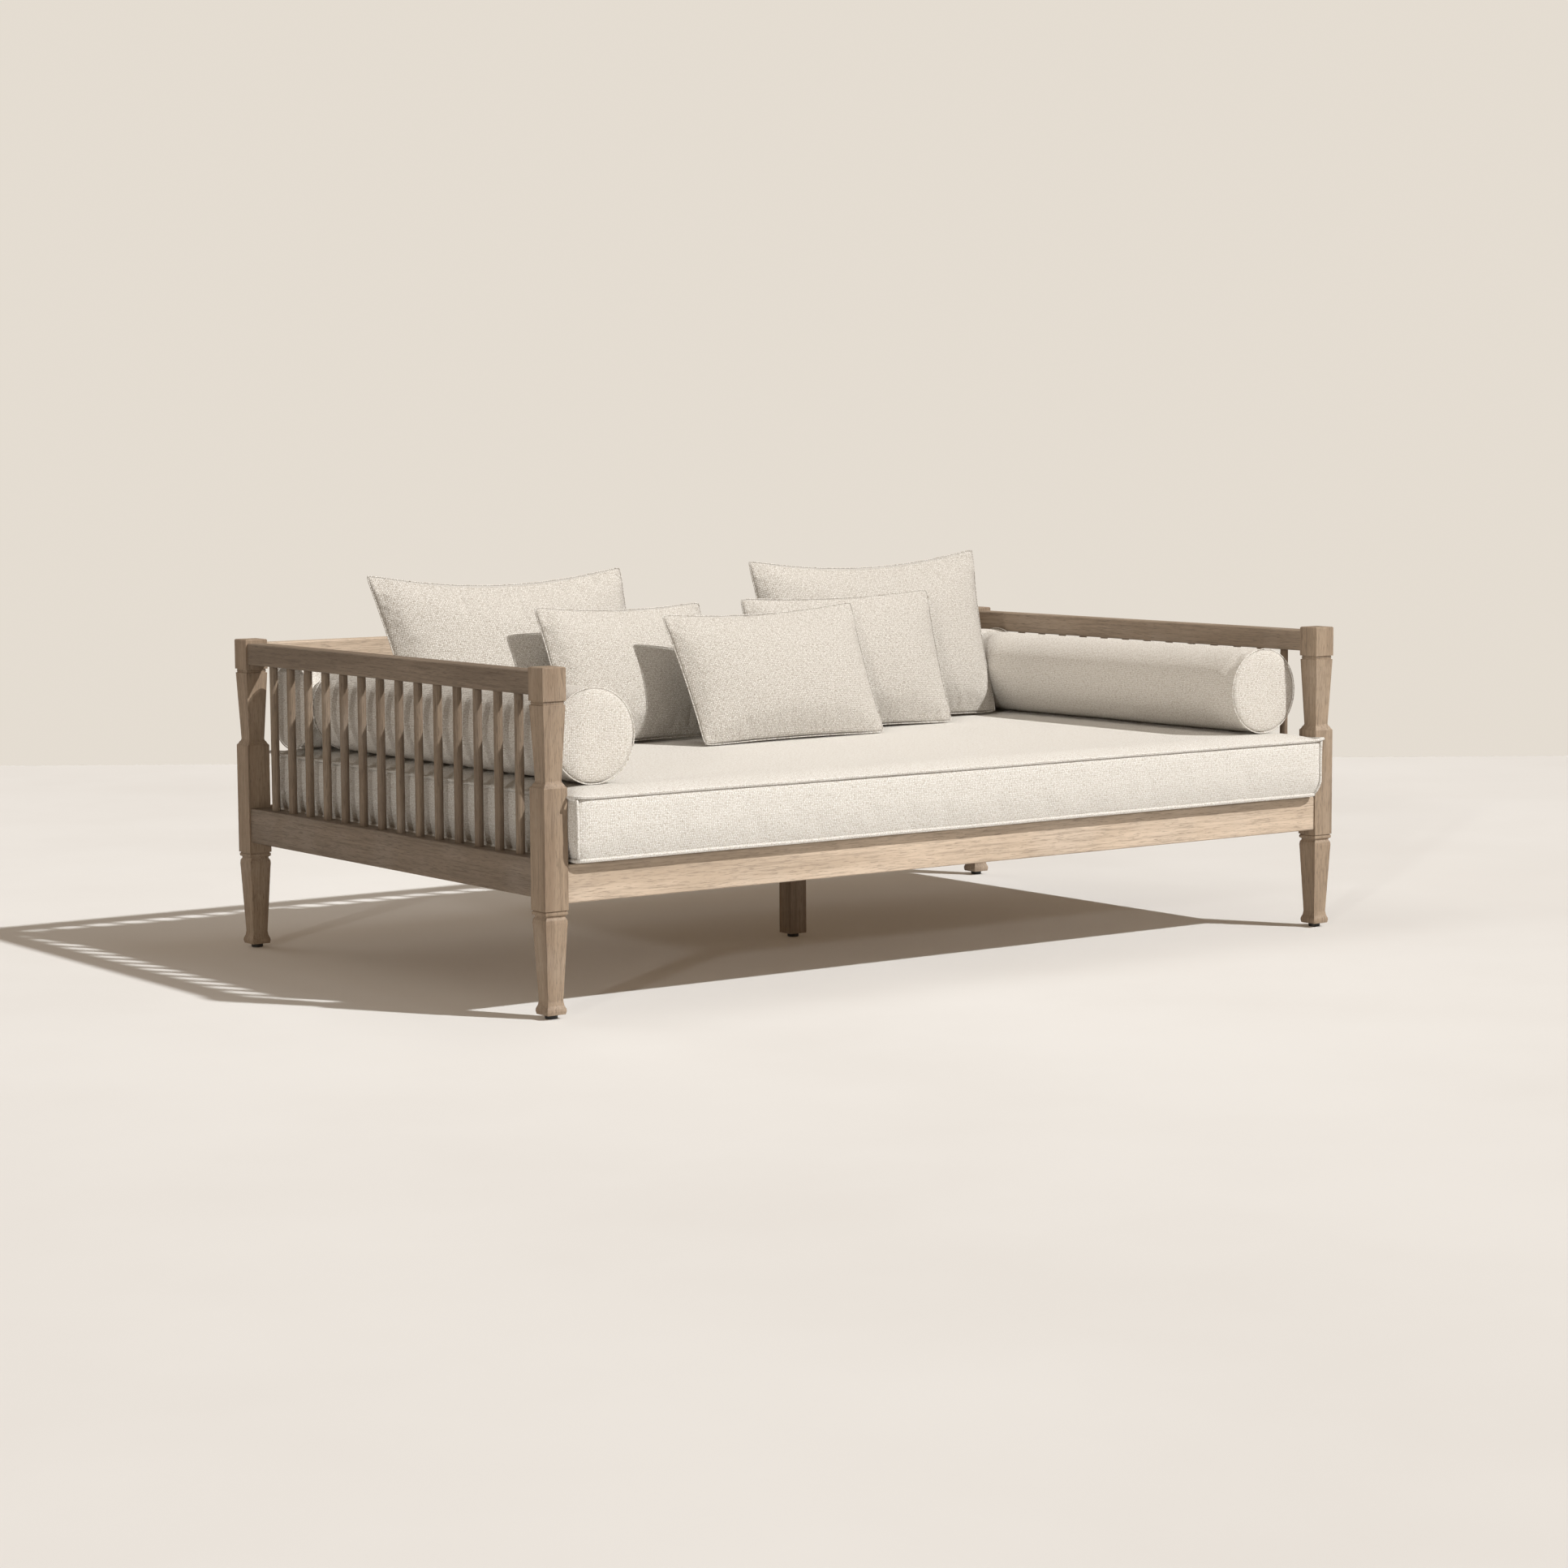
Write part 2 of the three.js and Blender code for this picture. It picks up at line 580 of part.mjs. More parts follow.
// Each pillow stands on the mattress and leans back. from: the end bolster, or the middle, that x goes by;
// behind: the room that the pillow itself and the rows behind it take up; space: the slack on top of that;
// lean and yaw in degrees. Widths and places along the bed suit PILLOW_SPAN, and follow the room there is.
const largeRow = LARGE_THICKNESS / 2;
const lumbarRow = LARGE_THICKNESS + LUMBAR_THICKNESS / 2;
const frontRow = lumbarRow + LUMBAR_THICKNESS;
const pillows = {
  pillow_large_left: {
    from: "left",
    x: 0,
    behind: largeRow,
    space: 39,
    lean: 17.5,
    yaw: 0,
    thick: LARGE_THICKNESS,
    corners: [[12, 0], [642, 0], [640, 417], [-52, 417]],
    waist: { side: 8, foot: 6, head: 36 },
  },
  pillow_large_right: {
    from: "right",
    x: 0,
    behind: largeRow,
    space: 62,
    lean: 16.5,
    yaw: 0,
    thick: LARGE_THICKNESS,
    corners: [[-692, 0], [-2, 4], [20, 432], [-689, 420]],
    waist: { side: 12, foot: 6, head: 34 },
  },
  lumbar_left: {
    from: "middle",
    x: -543,
    behind: lumbarRow,
    space: 72,
    lean: 19,
    yaw: 8,
    thick: LUMBAR_THICKNESS,
    corners: [[4, 0], [512, 0], [508, 330], [-5, 338]],
    waist: { side: 9, foot: 6, head: 14 },
  },
  lumbar_right: {
    from: "middle",
    x: 16,
    behind: lumbarRow,
    space: 58,
    lean: 16.4,
    yaw: 0,
    thick: LUMBAR_THICKNESS,
    corners: [[0, 0], [572, 0], [569, 339], [0, 334]],
    waist: { side: 6, foot: 6, head: 12 },
  },
  lumbar_centre: {
    from: "middle",
    x: -263,
    behind: frontRow,
    space: 104,
    lean: 24.8,
    yaw: 2.8,
    thick: LUMBAR_THICKNESS,
    corners: [[0, 0], [540, 0], [555, 338], [-20, 327]],
    waist: { side: 7, foot: 5, head: 16 },
  },
};

// Where a pillow's x is measured from: an end bolster's inner flank, or the middle of the bed.
function datum(from) {
  if (from === "middle") return 0;
  const { side, inset } = endBolsters[from];
  return side * (railEndX - inset - 2 * BOLSTER_RADIUS);
}

const pillowFit = (datum("right") - datum("left")) / PILLOW_SPAN;

function buildPillows() {
  const pressedBy = {
    pillow_large_left: [endBolster("left", PRESS), backBolster(PRESS)],
    pillow_large_right: [endBolster("right", PRESS), backBolster(PRESS)],
  };
  for (const [name, pillow] of Object.entries(pillows)) {
    const geometry = pillowGeometry(pillow);
    geometry.scale(pillowFit, 1, 1);
    geometry.rotateX(-THREE.MathUtils.degToRad(pillow.lean));
    geometry.rotateZ(THREE.MathUtils.degToRad(pillow.yaw));
    geometry.computeBoundingBox();
    const line = backBolsterY - BOLSTER_RADIUS - pillow.behind - pillow.space;
    const place = datum(pillow.from) + pillow.x * pillowFit;
    geometry.translate(place, line, plateau + GAP - geometry.boundingBox.min.z);
    let shape = solid(geometry);
    for (const neighbour of pressedBy[name] ?? []) shape = shape.subtract(neighbour);
    add(name, shape, fabric);
  }
}

buildPosts();
buildEnds();
buildBack();
buildDeck();
buildMattress();
buildBolsters();
buildPillows();

export default daybed;
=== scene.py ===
"""A teak daybed with spindle ends, a welted mattress, three bolsters and five loose pillows.

Metres, in the frame's own axes: +X along the bed, -Y the open front, +Z up. The pieces' places and sizes
are measured from the frame's solids, apart from the numbers named below.
"""

import json
import math

import bpy
import numpy as np
from mathutils import Matrix, Vector, noise


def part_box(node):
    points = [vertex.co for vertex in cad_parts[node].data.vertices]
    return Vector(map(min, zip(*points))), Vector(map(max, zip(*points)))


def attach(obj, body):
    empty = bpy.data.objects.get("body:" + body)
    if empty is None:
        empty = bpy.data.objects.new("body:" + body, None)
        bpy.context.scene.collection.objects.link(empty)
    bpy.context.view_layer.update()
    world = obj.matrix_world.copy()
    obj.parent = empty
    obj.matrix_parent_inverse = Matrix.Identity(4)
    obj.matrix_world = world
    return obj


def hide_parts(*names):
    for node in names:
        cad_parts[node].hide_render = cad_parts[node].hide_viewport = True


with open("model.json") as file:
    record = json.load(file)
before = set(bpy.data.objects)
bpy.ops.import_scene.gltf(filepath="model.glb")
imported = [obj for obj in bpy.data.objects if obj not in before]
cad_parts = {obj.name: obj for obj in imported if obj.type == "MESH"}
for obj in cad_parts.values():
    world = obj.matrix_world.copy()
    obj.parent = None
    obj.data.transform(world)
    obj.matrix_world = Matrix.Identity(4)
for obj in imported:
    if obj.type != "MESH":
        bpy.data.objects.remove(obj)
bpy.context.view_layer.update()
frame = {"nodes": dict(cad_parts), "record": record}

# ---------------------------------------------------------------- camera and lights
CAMERA_PLACE = (-4.8183, -6.6050, 1.1792)
CAMERA_ANGLES = (35.978, 5.7234, -0.36275)  # heading, pitch and roll, in degrees
CAMERA_LENS = 80.59  # in millimetres, as is the sensor's width
SENSOR_WIDTH = 36

# name, the way its rays go, strength, angular size in degrees, colour
SUNS = (
    ("key", (-0.582, 0.925, -1.0), 3.8, 1.6, (1.0, 0.975, 0.94)),
    ("fill", (0.8, 0.56, -0.25), 0.58, 2.0, (1.0, 0.95, 0.88)),
    ("rear", (0.25, -0.8, -0.5), 0.4, 40.0, (1.0, 0.93, 0.84)),
)

# ---------------------------------------------------------------- sizes, in metres
WELT_TOP = 0.0038  # radius of the cord in the mattress's top welt
WELT_FOOT = 0.0044
WELT_CORNER = 0.0036
WELT_PROUD = 0.0008  # how far a welt's middle stands out from the border
SEAM = 0.0014  # radius of the folded seam round a pillow or a bolster's cap
YARN = 0.0033  # width of one yarn in the weave
PILLOW_CELL = 0.0065  # spacing of a pillow's mesh before it is subdivided
MATTRESS_CELL = 0.019
BOLSTER_CELL = 0.012
BOLSTER_INSET = 0.0015  # how far a bolster's cover starts inside its solid's radius
SEAM_FROM_END = 0.0015  # distance of a bolster's seams from its ends
SEAM_PROUD = 0.0008  # how far those seams' middles stand out from the cover
CAP_CELLS = 16  # cells across a bolster's cap, so four times as many go round it
PILLOW_FULLNESS = 0.56  # lower is a fuller section
START_FULLNESS = 0.86  # share of its thickness that a pillow has before it is blown up
WRINKLE_SLACK = 0.001  # how far the wrinkles may stand past a pillow's full thickness
CORNER_PULL = 0.0045  # how far a pillow's corners are drawn in, which rounds them
CORNER_POWER = 16  # higher keeps that rounding closer to the corners
CONTACT = 0.0004  # space kept between a soft piece and what it rests on
SIDE_ROOM = 0.0005  # space kept between the mattress and the posts and the back rail
SIM_FRAMES = 20
BORDER_FOOT = 0.005  # height of the mattress's foot seam above its underside
BORDER_HEAD = 0.134  # height of its top seam
CROWN_REACH = 0.03  # distance from the edge in which most of the top's crown rises
CORNER_DRAW = 0.0042  # how far its corners are drawn in
FOOT_TUCK = 0.012  # how far the mattress's foot is drawn in
TUCK_HEIGHT = 0.034  # height above the foot seam at which the drawing in ends
TUCK_POWER = 1.6  # higher draws it in closer to the foot
EAR = 0.0035  # how far the top welt stands out at the mattress's corners

# lean and yaw of each pillow, in degrees; its corners, edges and thickness are measured from its solid
PILLOWS = {
    "pillow_large_left": (17.5, 0),
    "pillow_large_right": (16.5, 0),
    "lumbar_left": (19, 8),
    "lumbar_right": (16.4, 0),
    "lumbar_centre": (24.8, 2.8),
}
BOLSTERS = ("bolster_left", "bolster_right", "bolster_back")

# the light, deep and fleck colours of each weave; the fleck colour also paints shade into the gaps between
# the yarns
CLOTHS = {
    "mattress_fabric": ((0.88, 0.885, 0.87, 1), (0.69, 0.67, 0.63, 1), (0.36, 0.305, 0.245, 1)),
    "bolster_fabric": ((0.87, 0.865, 0.84, 1), (0.67, 0.64, 0.59, 1), (0.34, 0.285, 0.23, 1)),
    "pillow_fabric": ((0.75, 0.74, 0.715, 1), (0.50, 0.475, 0.435, 1), (0.23, 0.19, 0.15, 1)),
}

mattress_low, mattress_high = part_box("mattress")
plateau = mattress_high.z


# ================================================================ camera, lights and stage
def make_camera():
    """Places the camera, and returns its heading in radians."""
    heading, pitch, roll = (math.radians(angle) for angle in CAMERA_ANGLES)
    flat = math.cos(pitch)
    forward = Vector((flat * math.sin(heading), flat * math.cos(heading), -math.sin(pitch)))
    level = Vector((math.cos(heading), -math.sin(heading), 0))
    upright = level.cross(forward)
    right = math.cos(roll) * level + math.sin(roll) * upright
    up = math.cos(roll) * upright - math.sin(roll) * level
    data = bpy.data.cameras.new("camera")
    data.sensor_width = SENSOR_WIDTH
    data.lens = CAMERA_LENS
    data.clip_start, data.clip_end = 0.1, 200
    camera = bpy.data.objects.new("camera", data)
    turn = Matrix((right, up, -forward)).transposed().to_4x4()
    camera.matrix_world = Matrix.Translation(CAMERA_PLACE) @ turn
    bpy.context.scene.collection.objects.link(camera)
    bpy.context.scene.camera = camera
    return heading


def sun(name, travel, strength, softness, colour):
    """A distant light whose rays go along travel; softness is its angular size in degrees."""
    data = bpy.data.lights.new(name, "SUN")
    data.energy = strength
    data.angle = math.radians(softness)
    data.color = colour
    lamp = bpy.data.objects.new(name, data)
    lamp.rotation_mode = "QUATERNION"
    lamp.rotation_quaternion = Vector(travel).to_track_quat("-Z", "Y")
    bpy.context.scene.collection.objects.link(lamp)


def softbox(place, target, size, power):
    """A square soft lamp at place, turned towards target."""
    data = bpy.data.lights.new("softbox", "AREA")
    data.size = size
    data.energy = power
    data.color = (1.0, 0.96, 0.9)
    lamp = bpy.data.objects.new("softbox", data)
    lamp.location = place
    lamp.rotation_mode = "QUATERNION"
    lamp.rotation_quaternion = (Vector(target) - Vector(place)).to_track_quat("-Z", "Y")
    bpy.context.scene.collection.objects.link(lamp)


def make_world():
    """A dim warm world for the light, and a plain pale one where the camera sees it."""
    world = bpy.data.worlds.new("studio")
    world.use_nodes = True
    tree = world.node_tree
    tree.nodes.clear()
    output = tree.nodes.new("ShaderNodeOutputWorld")
    mix = tree.nodes.new("ShaderNodeMixShader")
    path = tree.nodes.new("ShaderNodeLightPath")
    light = tree.nodes.new("ShaderNodeBackground")
    light.inputs["Color"].default_value = (1.0, 0.76, 0.54, 1)
    light.inputs["Strength"].default_value = 0.2
    seen = tree.nodes.new("ShaderNodeBackground")
    seen.inputs["Color"].default_value = (0.78, 0.72, 0.64, 1)
    seen.inputs["Strength"].default_value = 1.0
    tree.links.new(path.outputs["Is Camera Ray"], mix.inputs[0])
    tree.links.new(light.outputs[0], mix.inputs[1])
    tree.links.new(seen.outputs[0], mix.inputs[2])
    tree.links.new(mix.outputs[0], output.inputs["Surface"])
    bpy.context.scene.world = world


# ================================================================ material graphs
class Graph:
    """A material under construction. Numbers, tuples and sockets can all be given as inputs."""

    def __init__(self, name):
        self.material = bpy.data.materials.new(name)
        self.material.use_nodes = True
        self.tree = self.material.node_tree
        self.tree.nodes.clear()
        self.shader = self.tree.nodes.new("ShaderNodeBsdfPrincipled")
        output = self.tree.nodes.new("ShaderNodeOutputMaterial")
        self.tree.links.new(self.shader.outputs[0], output.inputs["Surface"])

    def put(self, value, socket):
        if isinstance(value, bpy.types.NodeSocket):
            self.tree.links.new(value, socket)
        else:
            socket.default_value = value

    def node(self, kind, inputs, **settings):
        made = self.tree.nodes.new("ShaderNode" + kind)
        for name, value in settings.items():
            setattr(made, name, value)
        for key, value in inputs.items():
            self.put(value, made.inputs[key])
        return made

    def math(self, operation, *values):
        return self.node("Math", dict(enumerate(values)), operation=operation).outputs[0]

    def vector(self, operation, *values):
        return self.node("VectorMath", dict(enumerate(values)), operation=operation).outputs[0]

    def noise(self, vector, scale, detail=2.0, rough=0.5):
        inputs = {"Vector": vector, "Scale": scale, "Detail": detail, "Roughness": rough}
        return self.node("TexNoise", inputs).outputs["Fac"]

    def step(self, value, low, high):
        """0 below low, 1 above high, smooth between them."""
        inputs = {"Value": value, "From Min": low, "From Max": high}
        return self.node("MapRange", inputs, interpolation_type="SMOOTHSTEP").outputs["Result"]

    def mix(self, factor, first, second):
        made = self.tree.nodes.new("ShaderNodeMix")
        made.data_type = "RGBA"
        for value, socket in ((factor, made.inputs[0]), (first, made.inputs[6]), (second, made.inputs[7])):
            self.put(value, socket)
        return made.outputs[2]

    def bump(self, height, distance, strength):
        inputs = {"Height": height, "Distance": distance, "Strength": strength}
        return self.node("Bump", inputs).outputs["Normal"]

    def finish(self, **inputs):
        for name, value in inputs.items():
            self.put(value, self.shader.inputs[name.replace("_", " ")])
        return self.material


def fabric(name, light, deep, fleck_and_gap_shade):
    """A heathered plain weave of thick yarns, laid out by the piece's own fabric coordinates in metres."""
    g = Graph(name)
    place = g.node("Attribute", {}, attribute_name="weave").outputs["Vector"]
    waver = g.node("TexNoise", {"Vector": place, "Scale": 55.0, "Detail": 1.0}).outputs["Color"]
    waver = g.vector("MULTIPLY", g.vector("SUBTRACT", waver, (0.5, 0.5, 0.5)), (0.0022, 0.0022, 0))
    yarns = g.vector("MULTIPLY", g.vector("ADD", place, waver), (1 / YARN, 1 / YARN, 0))
    split = g.node("SeparateXYZ", {"Vector": yarns})
    across = g.math("SINE", g.math("MULTIPLY", split.outputs[0], math.pi))
    along = g.math("SINE", g.math("MULTIPLY", split.outputs[1], math.pi))
    crossing = g.math("MULTIPLY", across, along)
    rise = g.math("POWER", g.math("ABSOLUTE", crossing), 0.45)
    warp_up = g.step(crossing, -0.12, 0.12)

    warp = g.noise(g.vector("MULTIPLY", yarns, (1.2, 0.5, 1)), 1.0, 2, 0.7)
    weft = g.noise(g.vector("MULTIPLY", yarns, (0.5, 1.2, 1)), 1.0, 2, 0.7)
    shade = g.node("Mix", {0: warp_up, 2: weft, 3: warp}).outputs[0]
    slub = g.noise(g.vector("MULTIPLY", yarns, (0.05, 0.45, 1)), 1.0, 2, 0.6)

    colour = g.mix(g.step(shade, 0.4, 0.6), light, deep)
    colour = g.mix(g.math("MULTIPLY", g.step(shade, 0.54, 0.66), 0.65), colour, fleck_and_gap_shade)
    colour = g.mix(g.math("MULTIPLY", warp_up, 0.6), colour, deep)
    colour = g.mix(g.math("MULTIPLY", g.step(slub, 0.5, 0.7), 0.16), colour, deep)
    # painted shade: the gaps between the yarns are darkened towards the fleck colour
    gap = g.math("SUBTRACT", 1.0, g.step(rise, 0.15, 0.7))
    colour = g.mix(g.math("MULTIPLY", gap, 0.6), colour, fleck_and_gap_shade)

    fuzz = g.noise(place, 1800.0, 2, 0.6)
    height = g.math("ADD", rise, g.math("MULTIPLY", fuzz, 0.22))
    height = g.math("ADD", height, g.math("MULTIPLY", shade, 0.5))
    return g.finish(
        Base_Color=colour,
        Roughness=0.93,
        Specular_IOR_Level=0.2,
        Sheen_Weight=0.12,
        Sheen_Roughness=0.6,
        Normal=g.bump(height, 0.0011, 0.75),
    )


GRAIN_TURNS = {"x": (0, 0, 0), "y": (0, 0, math.pi / 2), "z": (0, math.pi / 2, 0)}
STRAP_LINE = 0.33  # distance of each webbing strap from the bed's middle
STRAP_HALF = 0.0127
STRAP_TOP = 0.0026  # a strap's top above the deck's lowest point


def teak(name, along, light, deep, straps=False):
    """Weathered open-grained wood, its grain along one axis; straps paints the deck's two straps."""
    g = Graph(name)
    place = g.node("TexCoord", {}).outputs["Object"]
    piece = g.node("ObjectInfo", {}).outputs["Random"]
    offsets = {0: g.math("MULTIPLY", piece, 7.0), 1: g.math("MULTIPLY", piece, 3.0)}
    shift = g.node("CombineXYZ", offsets).outputs[0]
    turned = g.node("Mapping", {"Vector": place, "Rotation": GRAIN_TURNS[along]}).outputs[0]
    turned = g.vector("ADD", turned, shift)

    figure = g.noise(g.vector("MULTIPLY", turned, (1.3, 16, 16)), 1.0, 5, 0.62)
    streak = g.noise(g.vector("MULTIPLY", turned, (7, 210, 210)), 1.0, 4, 0.7)
    pores = g.noise(g.vector("MULTIPLY", turned, (38, 620, 620)), 1.0, 2, 0.6)
    cloud = g.noise(turned, 4.5, 3, 0.6)
    rings = g.math("SINE", g.math("MULTIPLY", figure, 62.0))

    colour = g.mix(g.step(figure, 0.34, 0.68), light, deep)
    colour = g.mix(g.math("MULTIPLY", g.step(rings, 0.1, 1.0), 0.25), colour, deep)
    dark = tuple(channel * 0.5 for channel in deep[:3]) + (1,)
    silver = tuple(channel * 0.6 + 0.25 for channel in light[:3]) + (1,)
    colour = g.mix(g.math("MULTIPLY", g.step(cloud, 0.45, 0.74), 0.22), colour, silver)
    colour = g.mix(g.math("MULTIPLY", g.step(streak, 0.48, 0.66), 0.42), colour, dark)
    colour = g.mix(g.math("MULTIPLY", g.step(pores, 0.54, 0.66), 0.55), colour, dark)
    colour = g.mix(g.math("MULTIPLY", piece, 0.18), colour, deep)

    pitted = g.math("MULTIPLY", g.step(pores, 0.56, 0.72), 0.6)
    grain = g.math("SUBTRACT", g.math("MULTIPLY", streak, 0.5), pitted)
    normal = g.bump(grain, 0.0006, 0.55)
    rough = g.math("ADD", 0.5, g.math("MULTIPLY", streak, 0.22))
    if straps:
        split = g.node("SeparateXYZ", {"Vector": place})
        beside = g.math("ABSOLUTE", g.math("SUBTRACT", g.math("ABSOLUTE", split.outputs[1]), STRAP_LINE))
        on_strap = g.math("MULTIPLY", g.math("LESS_THAN", beside, STRAP_HALF),
                          g.math("LESS_THAN", split.outputs[2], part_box("slat_deck")[0].z + STRAP_TOP))
        ribs = g.math("SINE", g.math("MULTIPLY", split.outputs[0], 2 * math.pi / 0.003))
        tape = g.mix(g.step(ribs, -0.6, 0.6), (0.30, 0.26, 0.21, 1), (0.46, 0.41, 0.34, 1))
        colour = g.mix(on_strap, colour, tape)
        rough = g.math("MAXIMUM", rough, g.math("MULTIPLY", on_strap, 0.9))
    return g.finish(Base_Color=colour, Roughness=rough, Specular_IOR_Level=0.42, Normal=normal)


def glide_plastic():
    g = Graph("glide_plastic")
    place = g.node("TexCoord", {}).outputs["Object"]
    grain = g.noise(place, 900.0, 2)
    scuff = g.noise(place, 130.0, 4, 0.7)
    colour = g.mix(g.step(scuff, 0.5, 0.8), (0.012, 0.012, 0.012, 1), (0.05, 0.047, 0.043, 1))
    rough = g.math("ADD", 0.38, g.math("MULTIPLY", scuff, 0.25))
    return g.finish(Base_Color=colour, Roughness=rough, Normal=g.bump(grain, 0.0002, 0.3))


def floor_plaster():
    g = Graph("floor_plaster")
    place = g.node("TexCoord", {}).outputs["Object"]
    cloud = g.noise(place, 0.7, 4, 0.55)
    colour = g.mix(g.step(cloud, 0.3, 0.75), (0.70, 0.715, 0.725, 1), (0.66, 0.67, 0.675, 1))
    # painted light: the floor's faint warm glow lifts the shadows cast on it
    glow = {"Emission_Color": (1.0, 0.68, 0.42, 1), "Emission_Strength": 0.06}
    return g.finish(Base_Color=colour, Roughness=0.85, Specular_IOR_Level=0.15, **glow)


# ================================================================ shells
class Shell:
    """A mesh built from sheets of quads that share vertices along their seams.

    Each face corner has its own fabric coordinates, so the weave runs straight on every panel.
    """

    def __init__(self):
        self.points = []
        self.faces = []
        self.weave = []

    def add_points(self, points):
        """Adds an array of points of any shape, and returns their numbers in that shape."""
        points = np.asarray(points, float)
        first = len(self.points)
        self.points.extend(points.reshape(-1, 3).tolist())
        return np.arange(first, first + points.size // 3).reshape(points.shape[:-1])

    def add_sheet(self, numbers, weave, flip=False):
        """Adds the quads of a grid of vertex numbers, with a grid of fabric coordinates."""
        rows, columns = numbers.shape
        for i in range(rows - 1):
            for j in range(columns - 1):
                around = [(i, j), (i + 1, j), (i + 1, j + 1), (i, j + 1)]
                if flip:
                    around.reverse()
                self.faces.append([int(numbers[a]) for a in around])
                self.weave.extend([(*weave[a], 0.0) for a in around])

    def volume(self):
        """Positive when the faces of a closed shell look outwards."""
        points = np.asarray(self.points)
        total = 0.0
        for face in self.faces:
            for i in range(1, len(face) - 1):
                total += np.dot(points[face[0]], np.cross(points[face[i]], points[face[i + 1]]))
        return total

    def make(self, name, material):
        """Makes the piece, with its faces looking outwards and no unused points.

        kept says which of the points stay.
        """
        if self.volume() < -1e-9:
            sizes = [len(face) for face in self.faces]
            starts = np.cumsum([0] + sizes)
            spans = zip(starts, starts[1:])
            self.weave = [self.weave[k] for a, b in spans for k in range(b - 1, a - 1, -1)]
            self.faces = [face[::-1] for face in self.faces]
        self.kept = sorted({n for face in self.faces for n in face})
        place = {n: i for i, n in enumerate(self.kept)}
        self.points = [self.points[n] for n in self.kept]
        self.faces = [[place[n] for n in face] for face in self.faces]
        mesh = bpy.data.meshes.new(name)
        mesh.from_pydata(self.points, [], self.faces)
        layer = mesh.attributes.new("weave", "FLOAT_VECTOR", "CORNER")
        layer.data.foreach_set("vector", np.asarray(self.weave, np.float32).ravel())
        mesh.materials.append(material)
        mesh.polygons.foreach_set("use_smooth", [True] * len(mesh.polygons))
        mesh.update()
        piece = bpy.data.objects.new(name, mesh)
        bpy.context.scene.collection.objects.link(piece)
        return piece


def points_of(piece):
    values = np.zeros(len(piece.data.vertices) * 3)
    piece.data.vertices.foreach_get("co", values)
    return values.reshape(-1, 3)


def set_points(piece, points):
    piece.data.vertices.foreach_set("co", np.asarray(points, np.float32).ravel())
    piece.data.update()


def grid_of(*spans):
    return np.stack(np.meshgrid(*spans, indexing="ij"), -1)


def tube(name, path, radius, material, closed=False, sides=8):
    """A cord along a path of points."""
    path = np.asarray(path, float)
    if closed:
        ahead = np.roll(path, -1, 0) - np.roll(path, 1, 0)
    else:
        ahead = np.gradient(path, axis=0)
    ahead /= np.linalg.norm(ahead, axis=1)[:, None]
    side = np.cross(ahead, (0, 0, 1.0))
    short = np.linalg.norm(side, axis=1) < 0.2
    side[short] = np.cross(ahead[short], (0, 1.0, 0))
    side /= np.linalg.norm(side, axis=1)[:, None]
    up = np.cross(side, ahead)
    angles = np.arange(sides) * 2 * math.pi / sides
    rings = path[:, None] + radius * (
        np.cos(angles)[None, :, None] * side[:, None] + np.sin(angles)[None, :, None] * up[:, None]
    )
    shell = Shell()
    numbers = shell.add_points(rings)
    steps = np.linalg.norm(np.diff(path, axis=0), axis=1)
    length = np.concatenate([[0], np.cumsum(steps)])
    if closed:
        numbers = np.vstack([numbers, numbers[:1]])
        length = np.append(length, length[-1] + np.linalg.norm(path[0] - path[-1]))
    numbers = np.hstack([numbers, numbers[:, :1]])
    around = np.append(angles, 2 * math.pi) * radius
    if radius < YARN / 2:  # a thin seam shows one yarn only, with no gap along it
        around[:] = YARN / 2
    weave = grid_of(length, around)
    shell.add_sheet(numbers, weave, flip=True)
    if not closed:
        for ring in (numbers[0, :-1][::-1], numbers[-1, :-1]):
            shell.faces.append([int(n) for n in ring])
            shell.weave.extend([(0.0, 0.0, 0.0)] * sides)
    return shell.make(name, material)


# ================================================================ cloth
def inflate(piece, held, pressure, swell, cap, stiffness=12.0):
    """Blows the piece up as cloth with some of its points held, then keeps the settled shape.

    swell is how much larger the cloth is than its rest shape, which makes the puckers at the seams;
    cap is how far a point may move.
    """
    start = points_of(piece)
    scene = bpy.context.scene
    group = piece.vertex_groups.new(name="held")
    group.add([int(n) for n in np.nonzero(held)[0]], 1.0, "REPLACE")
    cloth = piece.modifiers.new("Cloth", "CLOTH")
    settings = cloth.settings
    settings.quality = 6
    settings.mass = 0.25
    settings.tension_stiffness = stiffness
    settings.compression_stiffness = stiffness
    settings.shear_stiffness = stiffness / 2
    settings.bending_stiffness = 0.35
    settings.use_pressure = True
    settings.uniform_pressure_force = pressure
    settings.shrink_min = -swell
    settings.vertex_group_mass = "held"
    settings.effector_weights.gravity = 0
    cloth.collision_settings.use_collision = False
    cloth.point_cache.frame_start = 1
    cloth.point_cache.frame_end = SIM_FRAMES
    for step in range(1, SIM_FRAMES + 1):
        scene.frame_set(step)
    settled = piece.evaluated_get(bpy.context.evaluated_depsgraph_get())
    values = np.zeros(len(start) * 3)
    settled.data.vertices.foreach_get("co", values)
    moved = values.reshape(-1, 3) - start
    reach = np.linalg.norm(moved, axis=1)
    moved *= np.minimum(1, cap / np.maximum(reach, 1e-9))[:, None]
    piece.modifiers.remove(cloth)
    piece.vertex_groups.clear()
    scene.frame_set(1)
    set_points(piece, start + moved)
    return start + moved


def smooth_once(piece):
    """One level of subdivision, kept in the mesh."""
    modifier = piece.modifiers.new("Subdivide", "SUBSURF")
    modifier.levels = modifier.render_levels = 1
    settled = piece.evaluated_get(bpy.context.evaluated_depsgraph_get())
    mesh = bpy.data.meshes.new_from_object(settled)
    piece.modifiers.remove(modifier)
    old = piece.data
    piece.data = mesh
    bpy.data.meshes.remove(old)
    piece.data.polygons.foreach_set("use_smooth", [True] * len(piece.data.polygons))


